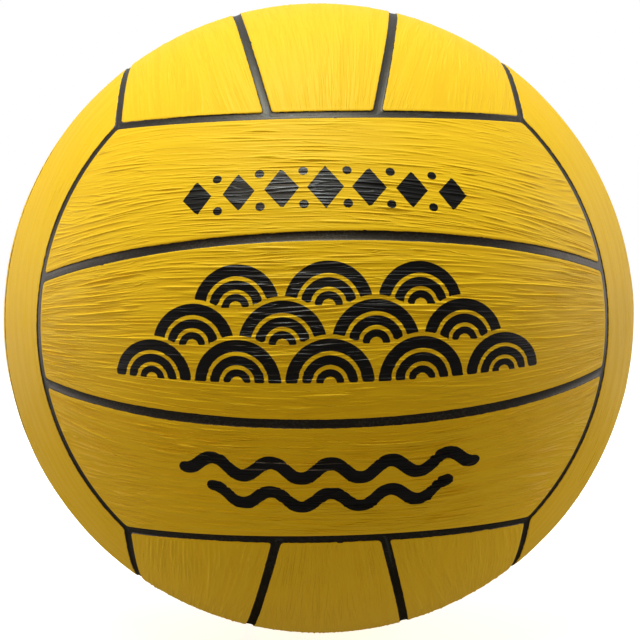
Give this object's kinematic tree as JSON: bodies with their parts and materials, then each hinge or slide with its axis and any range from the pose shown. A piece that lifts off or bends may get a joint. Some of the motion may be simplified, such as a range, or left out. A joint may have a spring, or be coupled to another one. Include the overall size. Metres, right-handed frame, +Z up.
{
  "type": "water polo ball",
  "caption": "Size 5 water polo ball: grained yellow rubber panels with black seams over a carcass, a wound layer and a bladder, with a self-sealing needle valve.",
  "frame": {"origin": "centre of the ball", "axes": "+Z up, the face with the panels that run left to right at -Y, the valve's needle bore along +Y, pointing out of the ball"},
  "size_m": [0.22, 0.22, 0.22],
  "materials": {
    "cover_yellow": "semi-matte moulded rubber with a wavy grain, black ink on the front panels",
    "carcass_black": "satin black rubber",
    "winding_nylon": "wound nylon yarn",
    "bladder_butyl": "smooth matte butyl rubber",
    "valve_black": "satin black rubber",
    "valve_gum": "soft matte gum rubber"
  },
  "bodies": {
    "root": {"front_upper_panel": "cover_yellow", "front_middle_panel": "cover_yellow", "front_lower_panel": "cover_yellow", "rear_upper_panel": "cover_yellow", "rear_middle_panel": "cover_yellow", "rear_lower_panel": "cover_yellow", "top_left_panel": "cover_yellow", "top_middle_panel": "cover_yellow", "top_right_panel": "cover_yellow", "bottom_left_panel": "cover_yellow", "bottom_middle_panel": "cover_yellow", "bottom_right_panel": "cover_yellow", "left_front_panel": "cover_yellow", "left_middle_panel": "cover_yellow", "left_rear_panel": "cover_yellow", "right_front_panel": "cover_yellow", "right_middle_panel": "cover_yellow", "right_rear_panel": "cover_yellow", "carcass": "carcass_black", "nylon_winding": "winding_nylon", "bladder": "bladder_butyl", "valve_housing": "valve_black", "valve_core": "valve_gum"}
  },
  "joints": []
}
